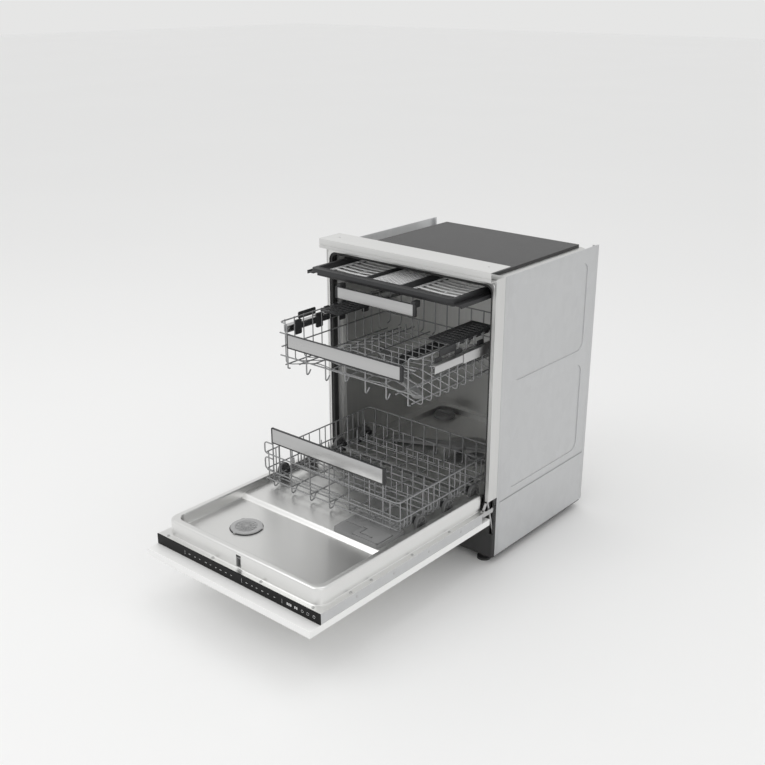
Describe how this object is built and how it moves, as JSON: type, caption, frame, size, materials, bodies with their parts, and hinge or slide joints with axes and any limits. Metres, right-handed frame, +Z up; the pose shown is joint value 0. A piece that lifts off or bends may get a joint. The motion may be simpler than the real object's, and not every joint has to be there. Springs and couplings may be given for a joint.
{
  "type": "integrated dishwasher",
  "caption": "Integrated dishwasher with its furniture panel, door lying open, two wire racks and a cutlery tray drawn out on their runners.",
  "frame": {"origin": "on the floor, centred across the width and over the depth from the open panel's front edge to the back of the body", "axes": "+X to the right when facing the machine, +Y from the room into the machine, +Z up"},
  "size_m": [0.598, 1.2254, 0.87],
  "materials": {
    "white_front": "satin",
    "satin_bar": "satin",
    "zinc_sheet": "satin",
    "tub_steel": "brushed",
    "black_strip": "gloss",
    "grey_plastic": "matte",
    "dark_plastic": "matte",
    "frame_grey": "satin",
    "rack_wire": "satin",
    "seal_rubber": "matte",
    "steel_parts": "satin",
    "cast_weight": "matte",
    "felt_mat": "matte",
    "insert_slats": "satin"
  },
  "bodies": {
    "root": {"furniture_panel": "white_front", "panel_handle": "satin_bar", "door_shell": "zinc_sheet", "control_strip": "black_strip", "door_liner": "tub_steel", "door_rim": "tub_steel", "door_lock": "dark_plastic", "dispenser_body": "grey_plastic", "door_vent": "grey_plastic", "door_screws": "steel_parts", "hinge_arms": "steel_parts", "front_frame": "frame_grey", "top_rail": "frame_grey", "tub_wrapper": "tub_steel", "tub_back": "tub_steel", "tub_floor": "tub_steel", "door_seal": "seal_rubber", "base_tray": "dark_plastic", "levelling_feet": "dark_plastic", "side_panels": "zinc_sheet", "insulation": "felt_mat", "counterweight": "cast_weight", "sump": "dark_plastic", "wash_pump": "dark_plastic", "filter_plate": "tub_steel", "water_connections": "dark_plastic", "hinge_brackets": "steel_parts", "door_springs": "steel_parts", "feed_pipe": "dark_plastic", "tub_runners": "steel_parts"},
    "detergent_lid": {"detergent_lid": "grey_plastic"},
    "rinse_aid_cap": {"rinse_aid_cap": "grey_plastic"},
    "filter_cup": {"filter_cup": "grey_plastic"},
    "salt_cap": {"salt_cap": "dark_plastic"},
    "lower_spray_arm": {"lower_spray_arm": "grey_plastic"},
    "top_spray_arm": {"top_spray_arm": "grey_plastic"},
    "lower_rack": {"lower_rack_floor": "rack_wire", "lower_rack_walls": "rack_wire", "lower_handle": "satin_bar"},
    "lower_tines_middle": {"lower_tines_middle": "rack_wire"},
    "lower_tines_rear": {"lower_tines_rear": "rack_wire"},
    "lower_wheels_1": {"lower_wheels_1": "dark_plastic"},
    "lower_wheels_2": {"lower_wheels_2": "dark_plastic"},
    "lower_wheels_3": {"lower_wheels_3": "dark_plastic"},
    "lower_wheels_4": {"lower_wheels_4": "dark_plastic"},
    "upper_slides": {"upper_slides": "steel_parts"},
    "upper_rack": {"upper_rack_floor": "rack_wire", "upper_tines": "rack_wire", "upper_rack_walls": "rack_wire", "upper_carriers": "dark_plastic", "upper_handle": "satin_bar", "rack_feed": "dark_plastic"},
    "middle_spray_arm": {"middle_spray_arm": "grey_plastic"},
    "cup_shelf_left": {"cup_shelf_left": "dark_plastic"},
    "cup_shelf_right": {"cup_shelf_right": "dark_plastic"},
    "height_lever_left": {"height_lever_left": "dark_plastic"},
    "height_lever_right": {"height_lever_right": "dark_plastic"},
    "cutlery_tray": {"tray_frame": "dark_plastic", "tray_inserts": "insert_slats", "tray_handle": "satin_bar"}
  },
  "joints": [
    {"name": "lower_rack_slide", "type": "slide", "parent": "root", "child": "lower_rack", "axis": [0, 1, 0], "range_m": [-0.099, 0.371]},
    {"name": "upper_rack_slide", "type": "slide", "parent": "root", "child": "upper_rack", "axis": [0, 1, 0], "range_m": [-0.118, 0.302]},
    {"name": "upper_slides_travel", "type": "slide", "parent": "root", "child": "upper_slides", "axis": [0, 1, 0], "range_m": [-0.059, 0.151]},
    {"name": "cutlery_tray_slide", "type": "slide", "parent": "root", "child": "cutlery_tray", "axis": [0, 1, 0], "range_m": [-0.159, 0.171]},
    {"name": "detergent_lid_hinge", "type": "hinge", "parent": "root", "child": "detergent_lid", "pos_m": [0.186, -0.29475, 0.2237], "axis": [1, 0, 0], "range_deg": [0, 100]},
    {"name": "rinse_aid_cap_turn", "type": "hinge", "parent": "root", "child": "rinse_aid_cap", "pos_m": [0.104, -0.20825, 0.222], "axis": [0, 0, 1], "range_deg": [0, 90]},
    {"name": "filter_cup_turn", "type": "hinge", "parent": "root", "child": "filter_cup", "pos_m": [0.064, 0.36775, 0.18], "axis": [0, 0, 1], "range_deg": [0, 90]},
    {"name": "salt_cap_turn", "type": "hinge", "parent": "root", "child": "salt_cap", "pos_m": [-0.198, 0.54775, 0.2], "axis": [0, 0, 1], "range_deg": [0, 360]},
    {"name": "lower_spray_arm_spin", "type": "hinge", "parent": "root", "child": "lower_spray_arm", "pos_m": [0, 0.36775, 0.1993], "axis": [0, 0, 1], "continuous": true},
    {"name": "middle_spray_arm_spin", "type": "hinge", "parent": "upper_rack", "child": "middle_spray_arm", "pos_m": [0, 0.06575, 0.536], "axis": [0, 0, 1], "continuous": true},
    {"name": "top_spray_arm_spin", "type": "hinge", "parent": "root", "child": "top_spray_arm", "pos_m": [0, 0.36775, 0.819], "axis": [0, 0, 1], "continuous": true},
    {"name": "lower_tines_middle_fold", "type": "hinge", "parent": "lower_rack", "child": "lower_tines_middle", "pos_m": [0, 0.05875, 0.244], "axis": [-1, 0, 0], "range_deg": [0, 86]},
    {"name": "lower_tines_rear_fold", "type": "hinge", "parent": "lower_rack", "child": "lower_tines_rear", "pos_m": [0, 0.13475, 0.244], "axis": [-1, 0, 0], "range_deg": [0, 86]},
    {"name": "cup_shelf_left_fold", "type": "hinge", "parent": "upper_rack", "child": "cup_shelf_left", "pos_m": [-0.24, 0.09375, 0.684], "axis": [0, -1, 0], "range_deg": [0, 88]},
    {"name": "cup_shelf_right_fold", "type": "hinge", "parent": "upper_rack", "child": "cup_shelf_right", "pos_m": [0.24, 0.09375, 0.684], "axis": [0, 1, 0], "range_deg": [0, 88]},
    {"name": "height_lever_left_press", "type": "hinge", "parent": "upper_rack", "child": "height_lever_left", "pos_m": [-0.2492, -0.04125, 0.6735], "axis": [0, 1, 0], "range_deg": [0, 8], "stiffness_Nm_per_rad": 0.05},
    {"name": "height_lever_right_press", "type": "hinge", "parent": "upper_rack", "child": "height_lever_right", "pos_m": [0.2492, -0.04125, 0.6735], "axis": [0, -1, 0], "range_deg": [0, 8], "stiffness_Nm_per_rad": 0.05},
    {"name": "lower_wheels_1_roll", "type": "hinge", "parent": "lower_rack", "child": "lower_wheels_1", "pos_m": [0, -0.15025, 0.2336], "axis": [1, 0, 0], "continuous": true},
    {"name": "lower_wheels_2_roll", "type": "hinge", "parent": "lower_rack", "child": "lower_wheels_2", "pos_m": [0, -0.03125, 0.2336], "axis": [1, 0, 0], "continuous": true},
    {"name": "lower_wheels_3_roll", "type": "hinge", "parent": "lower_rack", "child": "lower_wheels_3", "pos_m": [0, 0.08775, 0.2336], "axis": [1, 0, 0], "continuous": true},
    {"name": "lower_wheels_4_roll", "type": "hinge", "parent": "lower_rack", "child": "lower_wheels_4", "pos_m": [0, 0.20675, 0.2336], "axis": [1, 0, 0], "continuous": true}
  ],
  "couplings": [
    {"joint": "upper_slides_travel", "follows": "upper_rack_slide", "ratio": 0.5}
  ]
}
